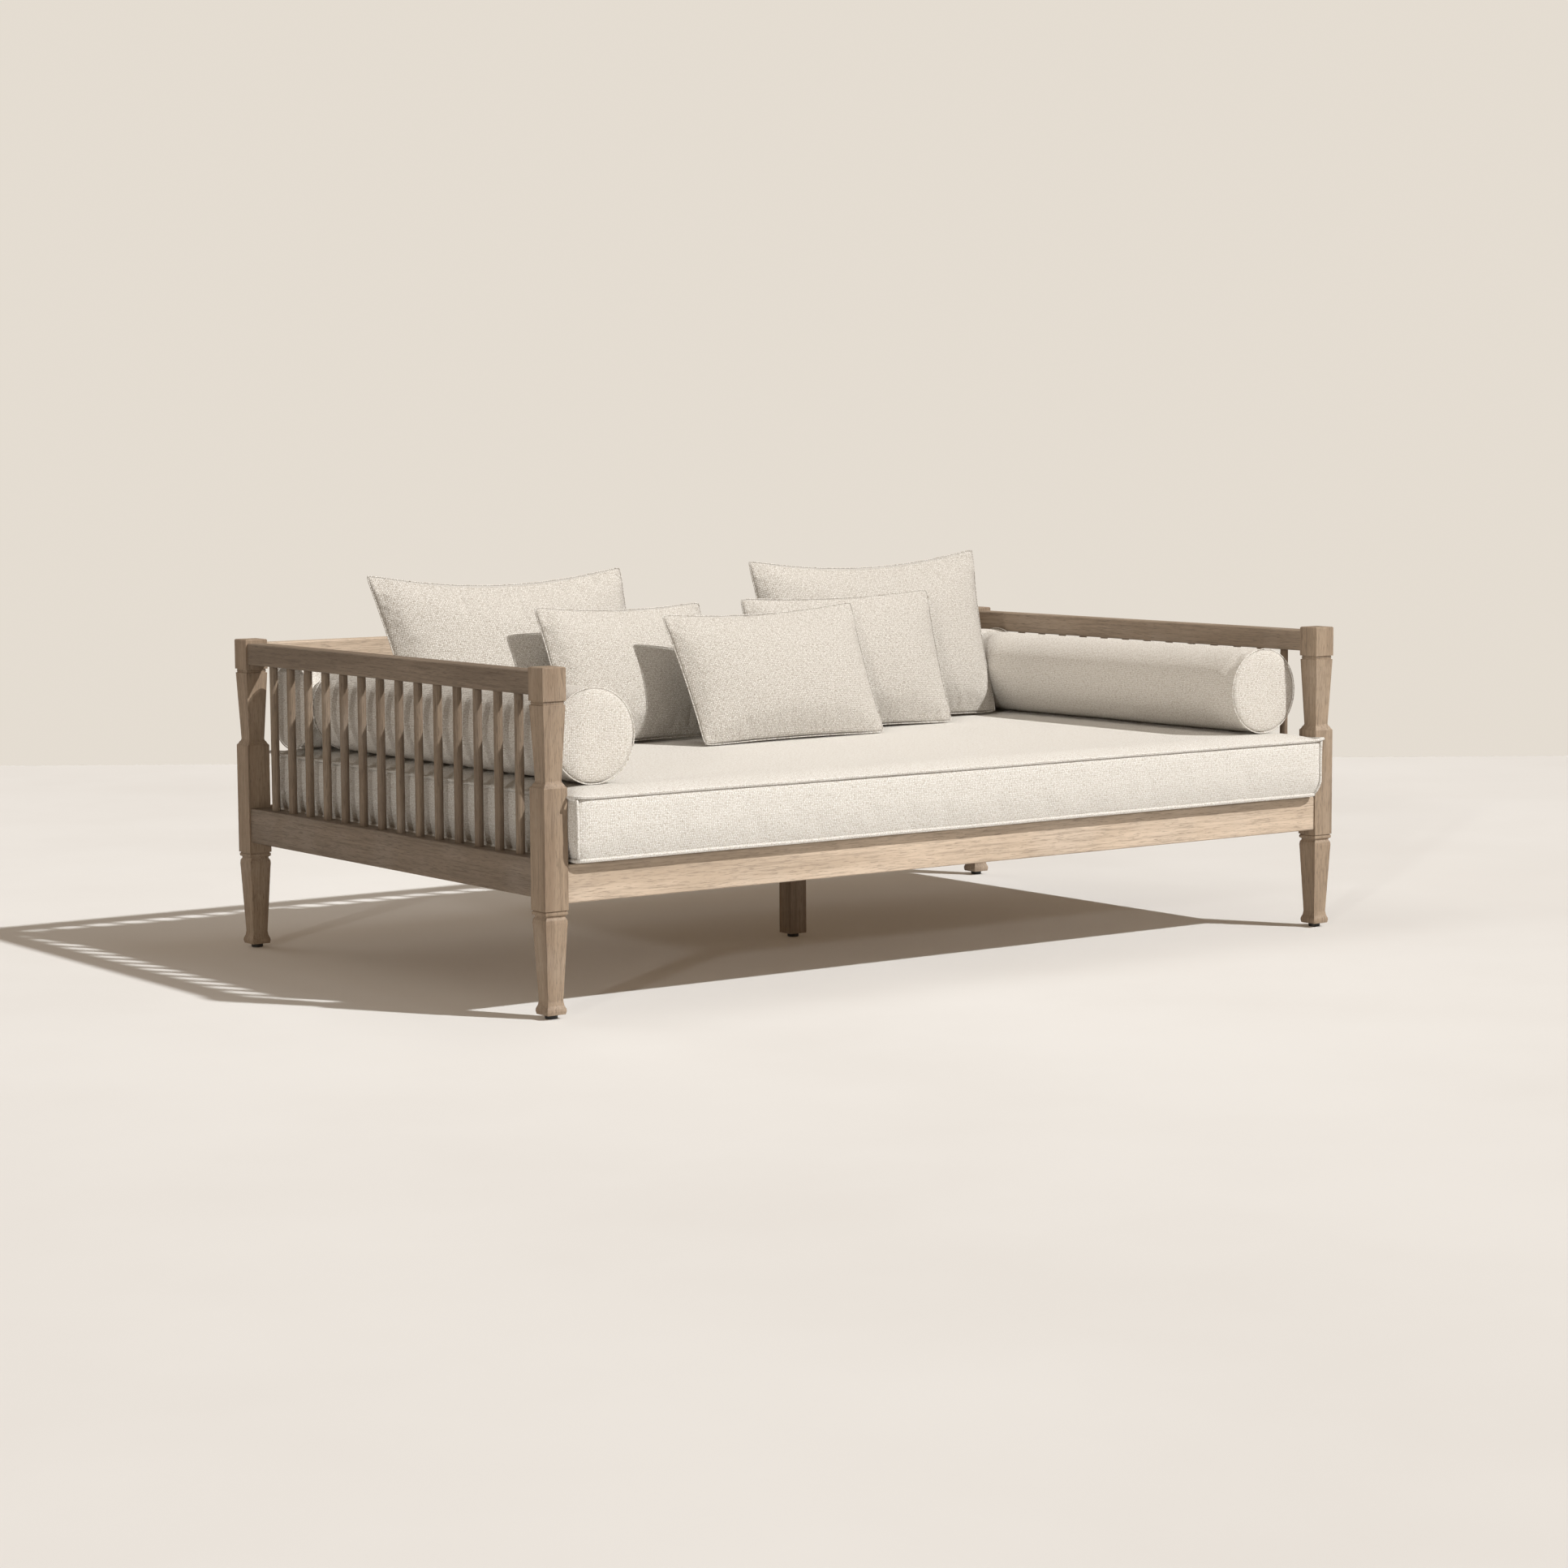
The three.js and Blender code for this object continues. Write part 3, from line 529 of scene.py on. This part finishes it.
def ripple(points, scale, seed):
    """Smooth noise from -1 to 1 at each point."""
    offset = Vector((seed * 13.1, seed * 7.7, seed * 3.3))
    return np.array([noise.noise(Vector(p) * scale + offset) for p in points])


def settle(piece, body):
    """Puts a stuffed piece under its body's empty."""
    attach(piece, body)


def trim(piece, body):
    """Puts a seam or a welt under its body's empty."""
    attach(piece, body)


# ================================================================ bolsters
class Bar:
    """A bolster's axis, radius and ends, measured from its solid."""

    def __init__(self, node):
        low, high = (np.array(corner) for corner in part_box(node))
        size = high - low
        self.axis = int(np.argmax(size))
        others = [a for a in range(3) if a != self.axis]
        self.radius = size[others].mean() / 2
        self.centre = (low + high) / 2
        self.centre[self.axis] = 0
        self.start, self.end = low[self.axis], high[self.axis]

    def push_out(self, points, clearance):
        """Moves points that lie inside the bar out to its surface."""
        offset = points - self.centre
        along = offset[:, self.axis].copy()
        offset[:, self.axis] = 0
        away = np.linalg.norm(offset, axis=1)
        inside = (away < self.radius + clearance) & (along > self.start) & (along < self.end)
        scale = np.where(inside, (self.radius + clearance) / np.maximum(away, 1e-6), 1.0)
        moved = self.centre + offset * scale[:, None]
        moved[:, self.axis] = along
        return moved


def disc_grid(cells):
    """A square grid mapped to the unit disc, whose rim points are evenly spaced."""
    span = np.linspace(-1, 1, cells + 1)
    flat = grid_of(span, span)
    x, y = flat[..., 0], flat[..., 1]
    radius = np.maximum(abs(x), abs(y))
    with np.errstate(divide="ignore", invalid="ignore"):
        turn = np.where(abs(x) >= abs(y), math.pi / 4 * y / x, math.pi / 2 - math.pi / 4 * x / y)
    turn = np.nan_to_num(turn)
    sign = np.where(abs(x) >= abs(y), np.sign(x), np.sign(y))
    return np.stack([radius * sign * np.cos(turn), radius * sign * np.sin(turn)], -1)


def rim_of(grid):
    """The grid's outline, counter-clockwise from its first corner."""
    return np.concatenate([grid[:-1, 0], grid[-1, :-1], grid[:0:-1, -1], grid[0, :0:-1]])


def make_bolster(node, material):
    bar = Bar(node)
    disc = disc_grid(CAP_CELLS)
    rim = rim_of(disc)
    length = bar.end - bar.start
    levels = max(8, round(length / BOLSTER_CELL))
    first, second = [a for a in range(3) if a != bar.axis]
    radius = bar.radius - BOLSTER_INSET

    def place(unit, distance):
        points = np.zeros(unit.shape[:-1] + (3,))
        points[..., first] = bar.centre[first] + unit[..., 0] * radius
        points[..., second] = bar.centre[second] + unit[..., 1] * radius
        points[..., bar.axis] = bar.start + distance
        return points

    shell = Shell()
    lay = np.linspace(0, length, levels + 1)
    body = shell.add_points(np.stack([place(rim, distance) for distance in lay]))
    wrapped = np.hstack([body, body[:, :1]])
    turns = np.linspace(0, 2 * math.pi * radius, len(rim) + 1)
    # the caps are wound the same way as the body, which depends on the axis; make turns them all outwards
    outward = bar.axis == 1
    shell.add_sheet(wrapped, grid_of(lay, turns), flip=not outward)
    for level, flip in ((0, not outward), (levels, outward)):
        cap = shell.add_points(place(disc, lay[level]))
        edge = rim_of(cap)
        swap = dict(zip(edge.tolist(), body[level].tolist()))
        joined = np.array([[swap.get(int(n), int(n)) for n in row] for row in cap])
        shell.add_sheet(joined, disc * radius, flip=flip)
    piece = shell.make(node + "_cover", material)

    points = points_of(piece)
    at_end = (abs(points[:, bar.axis] - bar.start) < 1e-6) | (abs(points[:, bar.axis] - bar.end) < 1e-6)
    offset = points - bar.centre
    offset[:, bar.axis] = 0
    on_rim = at_end & (np.linalg.norm(offset, axis=1) > radius - 1e-6)
    inflate(piece, on_rim, pressure=2.0, swell=0.003, cap=0.004)
    smooth_once(piece)

    points = points_of(piece)
    offset = points - bar.centre
    offset[:, bar.axis] = 0
    away = offset / np.maximum(np.linalg.norm(offset, axis=1), 1e-6)[:, None]
    seed = BOLSTERS.index(node) + 1
    points = points + away * (ripple(points, 4.0, seed) * 0.0011)[:, None]
    points[:, 2] = np.maximum(points[:, 2], plateau + CONTACT)
    if bar.axis == 1:
        points[:, 1] = np.minimum(points[:, 1], bar.end + 0.001)
    set_points(piece, points)
    settle(piece, node)
    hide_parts(node)
    for label, distance in (("first", SEAM_FROM_END), ("second", length - SEAM_FROM_END)):
        path = place(rim * (1 + SEAM_PROUD / radius), distance)
        path[:, 2] = np.maximum(path[:, 2], plateau + CONTACT + SEAM)
        seam = tube(f"{node}_seam_{label}", path, SEAM, material, closed=True, sides=6)
        trim(seam, node)


# ================================================================ pillows
def arch(t):
    return 4 * t * (1 - t)


class Pillow:
    """A pillow's own frame, corners, waists and thickness, measured from its solid."""

    def __init__(self, node, lean, yaw):
        turn = Matrix.Rotation(math.radians(yaw), 3, "Z") @ Matrix.Rotation(math.radians(-lean), 3, "X")
        self.turn = np.array(turn)
        local = points_of(frame["nodes"][node]) @ self.turn
        x, z = local[:, 0], local[:, 2]

        def extreme(right, up):
            return local[np.argmax(right * 0.8 * x + up * z)]

        corners = [extreme(-1, -1), extreme(1, -1), extreme(1, 1), extreme(-1, 1)]
        self.corners = [corner[[0, 2]] for corner in corners]
        self.plane = float(np.median([corner[1] for corner in corners]))
        low_left, low_right, high_right, high_left = self.corners
        middle = (low_left + low_right + high_right + high_left) / 4
        band_z = abs(z - middle[1]) < 0.03
        band_x = abs(x - middle[0]) < 0.04
        self.waist_left = x[band_z].min() - (low_left[0] + high_left[0]) / 2
        self.waist_right = (low_right[0] + high_right[0]) / 2 - x[band_z].max()
        self.waist_foot = z[band_x].min() - (low_left[1] + low_right[1]) / 2
        self.waist_head = (high_left[1] + high_right[1]) / 2 - z[band_x].max()
        near = band_z & band_x
        self.half = self.plane - local[near, 1].min()
        self.width = float(np.linalg.norm(low_right - low_left))
        self.height = float(np.linalg.norm(high_left - low_left))

    def outline(self, s, t):
        """The point of the mid-plane at s across and t up, with the edges' curves."""
        low_left, low_right, high_right, high_left = self.corners
        left = low_left[0] + (high_left[0] - low_left[0]) * t + self.waist_left * arch(t)
        right = low_right[0] + (high_right[0] - low_right[0]) * t - self.waist_right * arch(t)
        foot = low_left[1] + (low_right[1] - low_left[1]) * s + self.waist_foot * arch(s)
        head = high_left[1] + (high_right[1] - high_left[1]) * s - self.waist_head * arch(s)
        out_s, out_t = 2 * s - 1, 2 * t - 1
        blunt = CORNER_PULL * np.power(abs(out_s), CORNER_POWER) * np.power(abs(out_t), CORNER_POWER)
        x = left + (right - left) * s - np.sign(out_s) * blunt
        z = foot + (head - foot) * t - np.sign(out_t) * blunt
        return x, z

    def bulge(self, s, t):
        """Half the thickness at s, t: fuller towards the foot, where the filling settles."""
        settled = 1 + 0.1 * (0.5 - t)
        return self.half * np.power(arch(s) * arch(t), PILLOW_FULLNESS) * settled


def make_pillow(node, material):
    lean, yaw = PILLOWS[node]
    pillow = Pillow(node, lean, yaw)
    seed = list(PILLOWS).index(node) + 1
    columns = round(pillow.width / PILLOW_CELL)
    rows = round(pillow.height / PILLOW_CELL)
    share = grid_of(np.linspace(0, 1, columns + 1), np.linspace(0, 1, rows + 1))
    s, t = share[..., 0], share[..., 1]
    x, z = pillow.outline(s, t)
    half = pillow.bulge(s, t)
    weave = np.stack([x - x.min(), z - z.min()], -1)

    shell = Shell()
    front = np.stack([x, pillow.plane - half * START_FULLNESS, z], -1)
    back = np.stack([x, pillow.plane + half * START_FULLNESS, z], -1)
    front_numbers = shell.add_points(front)
    back_numbers = shell.add_points(back)
    rim = np.zeros(front_numbers.shape, bool)
    rim[[0, -1], :] = True
    rim[:, [0, -1]] = True
    back_numbers = np.where(rim, front_numbers, back_numbers)
    shell.add_sheet(front_numbers, weave)
    shell.add_sheet(back_numbers, weave, flip=True)
    piece = shell.make(node + "_cover", material)
    limit = np.concatenate([half.ravel(), half.ravel()])[shell.kept]
    held = np.concatenate([rim.ravel(), rim.ravel()])[shell.kept]
    settled = inflate(piece, held, pressure=3.5, swell=0.014, cap=0.011, stiffness=9)

    # never fuller than the solid, with a little slack for the wrinkles
    depth = settled[:, 1] - pillow.plane
    settled = settled.copy()
    settled[:, 1] = pillow.plane + np.clip(depth, -limit - WRINKLE_SLACK, limit + WRINKLE_SLACK)
    set_points(piece, settled)
    smooth_once(piece)

    local = points_of(piece)
    depth = local[:, 1] - pillow.plane
    local[:, 1] += np.sign(depth) * ripple(local, 9, seed) * 0.0022 * np.minimum(1, abs(depth) / 0.02)
    world = local @ pillow.turn.T
    if node.startswith("pillow_large"):
        for bolster in BOLSTERS:
            world = Bar(bolster).push_out(world, CONTACT + 0.0008)
    world[:, 2] = np.maximum(world[:, 2], plateau + CONTACT)
    set_points(piece, world)
    settle(piece, node)
    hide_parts(node)

    rim_x, rim_z = rim_of(x), rim_of(z)
    edge = np.stack([rim_x, np.full(len(rim_x), pillow.plane), rim_z], -1) @ pillow.turn.T
    edge[:, 2] = np.maximum(edge[:, 2], plateau + CONTACT + SEAM)
    trim(tube(node + "_seam", edge, SEAM, material, closed=True, sides=6), node)


# ================================================================ mattress
def crown(inset):
    """Share of the mattress's full height above the border, at a distance in from its edge."""
    return 1 - np.exp(-np.maximum(inset, 0) / CROWN_REACH)


def make_mattress(material):
    low, high = np.array(mattress_low), np.array(mattress_high)
    border_foot, border_head = low[2] + BORDER_FOOT, low[2] + BORDER_HEAD
    across = np.linspace(low[0], high[0], round((high[0] - low[0]) / MATTRESS_CELL) + 1)
    back = np.linspace(low[1], high[1], round((high[1] - low[1]) / MATTRESS_CELL) + 1)
    flat = grid_of(across, back)
    for i in (0, -1):
        for j in (0, -1):
            flat[i, j] += (CORNER_DRAW * (1 if i == 0 else -1), CORNER_DRAW * (1 if j == 0 else -1))
    inset = np.minimum(
        np.minimum(flat[..., 0] - low[0], high[0] - flat[..., 0]),
        np.minimum(flat[..., 1] - low[1], high[1] - flat[..., 1]),
    )
    inset[[0, -1], :] = 0
    inset[:, [0, -1]] = 0
    top = np.dstack([flat, border_head + (high[2] - border_head) * crown(inset)])
    middle = flat.mean((0, 1))
    shrink = (middle - flat) / abs(middle - low[:2])
    edge = np.exp(-inset / 0.05)[..., None]
    tucked = flat + np.clip(shrink, -1, 1) * edge * (abs(shrink) > 0.98) * FOOT_TUCK
    foot = np.dstack([tucked, border_foot - (border_foot - low[2]) * np.minimum(1, inset / 0.02)])

    shell = Shell()
    top_numbers = shell.add_points(top)
    foot_numbers = shell.add_points(foot)
    shell.add_sheet(top_numbers, flat)
    shell.add_sheet(foot_numbers, flat, flip=True)
    rim = rim_of(flat)
    rises = np.linspace(border_foot, border_head, 12)[1:-1]
    inwards = rim_of(tucked) - rim
    rings = []
    for z in rises:
        drawn = max(0, 1 - (z - border_foot) / TUCK_HEIGHT) ** TUCK_POWER
        rings.append(shell.add_points(np.column_stack([rim + inwards * drawn, np.full(len(rim), z)])))
    wall = np.stack([rim_of(foot_numbers), *rings, rim_of(top_numbers)])
    wall = np.hstack([wall, wall[:, :1]])
    steps = np.linalg.norm(np.roll(rim, -1, 0) - rim, axis=1)
    round_about = np.concatenate([[0], np.cumsum(steps)])
    heights = np.concatenate([[border_foot], rises, [border_head]])
    shell.add_sheet(wall, grid_of(heights, round_about), flip=True)
    piece = shell.make("mattress_cover", material)

    points = points_of(piece)
    on_panel = np.concatenate([inset.ravel(), inset.ravel()])
    held = np.zeros(len(points), bool)
    held[: len(on_panel)] = (on_panel > 0.11) | (on_panel <= 0)
    inflate(piece, held, pressure=2.0, swell=0.004, cap=0.004, stiffness=14)
    smooth_once(piece)
    points = points_of(piece)
    upper = points[:, 2] > (border_foot + border_head) / 2
    points[:, 2] -= np.where(upper, (ripple(points, 2.6, 9) + 1) * 0.0014, 0)
    points[:, 2] = np.clip(points[:, 2], low[2], high[2])
    set_points(piece, squeeze_mattress(points))
    settle(piece, "mattress")
    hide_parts("mattress")
    make_welts(rim, inwards, border_foot, border_head, material)


def squeeze_mattress(points):
    """Keeps the mattress's sides off the posts and the back rail."""
    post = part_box("post_front_left")[1]
    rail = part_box("bottom_rail_back")
    room = abs(post.x) - SIDE_ROOM
    beside_post = abs(points[:, 1]) > abs(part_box("post_front_left")[1].y) - 0.008
    points[:, 0] = np.where(beside_post, np.clip(points[:, 0], -room, room), points[:, 0])
    low_down = points[:, 2] < rail[1].z + 0.012
    points[:, 1] = np.where(low_down, np.minimum(points[:, 1], rail[0].y - SIDE_ROOM), points[:, 1])
    return points


def make_welts(rim, inwards, foot, head, material):
    """The corded welts round the top and the foot, and up the four corners."""
    from_middle = rim - rim.mean(0)
    at_side = abs(from_middle) >= abs(from_middle).max(0) - 0.03
    outward = np.where(at_side, np.sign(from_middle), 0)
    waver = ripple(np.column_stack([rim, np.zeros(len(rim))]), 3.5, 4)
    xs, ys = (rim[:, 0].min(), rim[:, 0].max()), (rim[:, 1].min(), rim[:, 1].max())
    to_corner = np.min([np.hypot(rim[:, 0] - x, rim[:, 1] - y) for x in xs for y in ys], axis=0)
    ear = np.exp(-np.square(to_corner / 0.022)) * EAR
    for label, z, radius in (("top", head, WELT_TOP), ("foot", foot, WELT_FOOT)):
        at_top = label == "top"
        if at_top:
            line = rim + outward * (WELT_PROUD + ear)[:, None]
        else:
            line = rim + inwards + outward * WELT_PROUD
        path = np.column_stack([line, z + waver * 0.0012 + ear * at_top])
        path[:, 2] = np.maximum(path[:, 2], mattress_low.z + radius + 0.0001)
        path = squeeze_mattress(path)
        welt = tube(f"mattress_welt_{label}", path, radius, material, closed=True)
        trim(welt, "mattress")
    corners = {"front_left": (0, 0), "front_right": (1, 0), "back_left": (0, 1), "back_right": (1, 1)}
    for label, (i, j) in corners.items():
        heights = np.linspace(foot + 0.002, head - 0.001, 14)
        drawn = np.power(np.maximum(0, 1 - (heights - foot) / TUCK_HEIGHT), TUCK_POWER) * FOOT_TUCK + 0.0035
        bend = np.sin((heights - foot) / (head - foot) * math.pi) * 0.002
        x = xs[i] + (drawn + bend) * (1 if i == 0 else -1)
        y = ys[j] + drawn * (1 if j == 0 else -1)
        path = squeeze_mattress(np.column_stack([x, y, heights]))
        welt = tube(f"mattress_welt_{label}", path, WELT_CORNER, material)
        trim(welt, "mattress")


# ================================================================ the wood and the glides
def grain_of(node):
    """The axis that a wooden piece's grain follows."""
    if node.startswith(("spindle", "post", "centre_leg", "back_spindle_panel")):
        return "z"
    if node in ("slat_deck", "top_rail_left", "top_rail_right", "bottom_rail_left", "bottom_rail_right"):
        return "y"
    return "x"


def bevel(piece, width, angle, segments=2):
    modifier = piece.modifiers.new("Ease", "BEVEL")
    modifier.width = width
    modifier.segments = segments
    modifier.limit_method = "ANGLE"
    modifier.angle_limit = math.radians(angle)
    modifier.harden_normals = True


def finish_frame():
    """Gives the frame's own pieces eased edges and their materials."""
    # the left end's rails and spindles have a darker wood, which stands in for weaker light on that side
    woods = {
        # teak_x is lighter than teak_y and teak_z; that extra lightness is painted light, standing in for
        # the stronger light on the front rail
        "x": teak("teak_x", "x", (0.60, 0.49, 0.385, 1), (0.44, 0.35, 0.265, 1)),
        "y": teak("teak_y", "y", (0.37, 0.295, 0.225, 1), (0.245, 0.188, 0.137, 1)),
        "left": teak("teak_left", "y", (0.25, 0.196, 0.147, 1), (0.16, 0.12, 0.086, 1)),
        "left_spindles": teak("teak_left_spindles", "z", (0.27, 0.208, 0.15, 1), (0.17, 0.125, 0.088, 1)),
        "z": teak("teak_z", "z", (0.37, 0.285, 0.205, 1), (0.235, 0.17, 0.117, 1)),
    }
    slats = teak("slat_wood", "y", (0.50, 0.39, 0.285, 1), (0.36, 0.265, 0.185, 1), straps=True)
    plastic = glide_plastic()
    for name in frame["record"]["behaviour"]["bodies"]["frame"]:
        node = frame["nodes"][name]
        if name.startswith("glide"):
            material = plastic
            bevel(node, 0.0006, 20)
        elif name == "slat_deck":
            material = slats
            bevel(node, 0.001, 40)
        elif "spindle" in name:
            material = woods["left_spindles" if name.startswith("spindle_left") else "z"]
            bevel(node, 0.0016, 20, 3)
        else:
            material = woods["left" if name.endswith("rail_left") else grain_of(name)]
            bevel(node, 0.0009, 30)
        node.data.materials.clear()
        node.data.materials.append(material)


def make_floor(heading):
    """A level floor, turned so that its far edge lies square across the camera's view."""
    shell = Shell()
    flat = grid_of(np.linspace(-5.2, 5.2, 5), np.linspace(-5.2, 4.43, 5))
    cos, sin = math.cos(-heading), math.sin(-heading)
    spun = np.stack([flat[..., 0] * cos - flat[..., 1] * sin, flat[..., 0] * sin + flat[..., 1] * cos], -1)
    numbers = shell.add_points(np.dstack([spun, np.zeros(flat.shape[:2])]))
    shell.add_sheet(numbers, spun)
    floor = shell.make("floor", floor_plaster())


# ================================================================ the scene
heading = make_camera()
for lamp in SUNS:
    sun(*lamp)
softbox(place=(-0.35, 0.0, 2.4), target=(1.0, 0.0, 0.55), size=0.9, power=11.0)
make_world()
bpy.context.scene.view_settings.view_transform = "Standard"
make_floor(heading)
finish_frame()

cloths = {name: fabric(name, *colours) for name, colours in CLOTHS.items()}
make_mattress(cloths["mattress_fabric"])
for bolster in BOLSTERS:
    make_bolster(bolster, cloths["bolster_fabric"])
for pillow in PILLOWS:
    make_pillow(pillow, cloths["pillow_fabric"])
